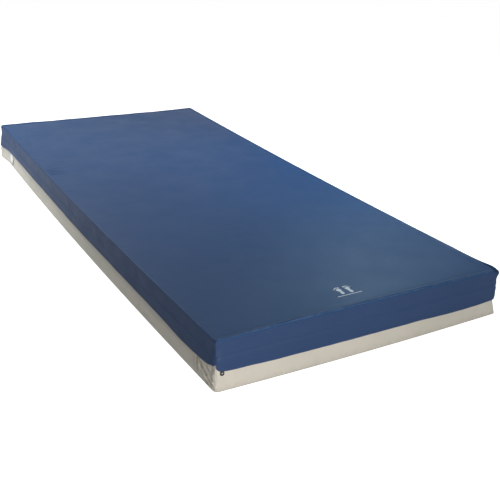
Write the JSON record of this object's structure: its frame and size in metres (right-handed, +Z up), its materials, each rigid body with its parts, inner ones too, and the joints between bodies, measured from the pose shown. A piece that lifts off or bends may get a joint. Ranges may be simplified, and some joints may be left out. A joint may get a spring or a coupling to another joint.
{
  "type": "pressure relief mattress",
  "caption": "Zoned foam pressure relief mattress in a zipped wipe-clean cover, blue over a grey base, with flaps hiding the zip; it bends with a profiling bed.",
  "frame": {"origin": "centre of the underside", "axes": "+Z up, +Y towards the head end, +X to the right as seen from the foot end"},
  "size_m": [0.914, 2.032, 0.1401],
  "materials": {
    "blue_cover": "polyurethane coated stretch knit, satin sheen",
    "grey_base_cover": "coated woven, matte with a faint sheen",
    "zip_tape": "woven tape",
    "zip_coil": "nylon coil",
    "zip_metal": "black enamelled zinc",
    "pull_plastic": "moulded, satin",
    "fire_barrier_knit": "brushed knit",
    "surface_foam": "open cell foam",
    "heel_foam": "soft open cell foam",
    "support_foam": "open cell foam",
    "bolster_foam": "firm open cell foam",
    "white_label": "thin non-woven",
    "white_print": "screen print ink"
  },
  "bodies": {
    "seat": {"top_cover_seat": "blue_cover", "base_cover_seat": "grey_base_cover", "side_flaps_seat": "blue_cover", "zip_upper_tape_seat": "zip_tape", "zip_lower_tape_seat": "zip_tape", "zip_upper_coil_seat": "zip_coil", "zip_lower_coil_seat": "zip_coil", "fire_barrier_seat": "fire_barrier_knit", "foam_surface_seat": "surface_foam", "foam_support_seat": "support_foam", "side_bolsters_seat": "bolster_foam"},
    "back": {"top_cover_back": "blue_cover", "base_cover_back": "grey_base_cover", "side_flaps_back": "blue_cover", "zip_upper_tape_back": "zip_tape", "zip_lower_tape_back": "zip_tape", "zip_upper_coil_back": "zip_coil", "zip_lower_coil_back": "zip_coil", "fire_barrier_back": "fire_barrier_knit", "foam_surface_back": "surface_foam", "foam_support_back": "support_foam", "side_bolsters_back": "bolster_foam"},
    "thigh": {"top_cover_thigh": "blue_cover", "base_cover_thigh": "grey_base_cover", "side_flaps_thigh": "blue_cover", "zip_upper_tape_thigh": "zip_tape", "zip_lower_tape_thigh": "zip_tape", "zip_upper_coil_thigh": "zip_coil", "zip_lower_coil_thigh": "zip_coil", "fire_barrier_thigh": "fire_barrier_knit", "foam_surface_thigh": "surface_foam", "foam_support_thigh": "support_foam", "side_bolsters_thigh": "bolster_foam"},
    "calf": {"top_cover_calf": "blue_cover", "base_cover_calf": "grey_base_cover", "side_flaps_calf": "blue_cover", "zip_upper_tape_calf": "zip_tape", "zip_lower_tape_calf": "zip_tape", "zip_upper_coil_calf": "zip_coil", "zip_lower_coil_calf": "zip_coil", "fire_barrier_calf": "fire_barrier_knit", "foam_surface_calf": "surface_foam", "foam_support_calf": "support_foam", "side_bolsters_calf": "bolster_foam", "foam_heel_zone": "heel_foam", "zip_end_stop": "zip_metal", "foot_end_print": "white_print"},
    "slider": {"zip_slider": "zip_metal", "zip_stud_cap": "zip_metal"},
    "pull_tab": {"zip_pull_tab": "pull_plastic"},
    "foot_flap": {"foot_flap": "blue_cover"},
    "head_flap": {"head_flap": "blue_cover"},
    "law_tag": {"law_tag": "white_label"}
  },
  "joints": [
    {"name": "back_raise", "type": "hinge", "parent": "seat", "child": "back", "pos_m": [0, 0.236, 0.14], "axis": [1, 0, 0], "range_deg": [0, 65]},
    {"name": "thigh_raise", "type": "hinge", "parent": "seat", "child": "thigh", "pos_m": [0, -0.014, 0.14], "axis": [-1, 0, 0], "range_deg": [0, 30]},
    {"name": "knee_bend", "type": "hinge", "parent": "thigh", "child": "calf", "pos_m": [0, -0.384, 0], "axis": [1, 0, 0], "range_deg": [0, 48]},
    {"name": "slider_travel", "type": "slide", "parent": "calf", "child": "slider", "axis": [1, 0, 0], "range_m": [0, 0.87]},
    {"name": "pull_swing", "type": "hinge", "parent": "slider", "child": "pull_tab", "pos_m": [-0.435, -1.0122, 0.075], "axis": [0, -1, 0], "range_deg": [-40, 75]},
    {"name": "foot_flap_lift", "type": "hinge", "parent": "calf", "child": "foot_flap", "pos_m": [0, -1.0087, 0.0895], "axis": [-1, 0, 0], "range_deg": [0, 100]},
    {"name": "head_flap_lift", "type": "hinge", "parent": "back", "child": "head_flap", "pos_m": [0, 1.0087, 0.0895], "axis": [1, 0, 0], "range_deg": [0, 100]},
    {"name": "tag_lift", "type": "hinge", "parent": "back", "child": "law_tag", "pos_m": [-0.4545, 0.863, 0.0505], "axis": [0, 1, 0], "range_deg": [0, 85]}
  ],
  "couplings": [
    {"joint": "knee_bend", "follows": "thigh_raise", "ratio": 1.6}
  ]
}
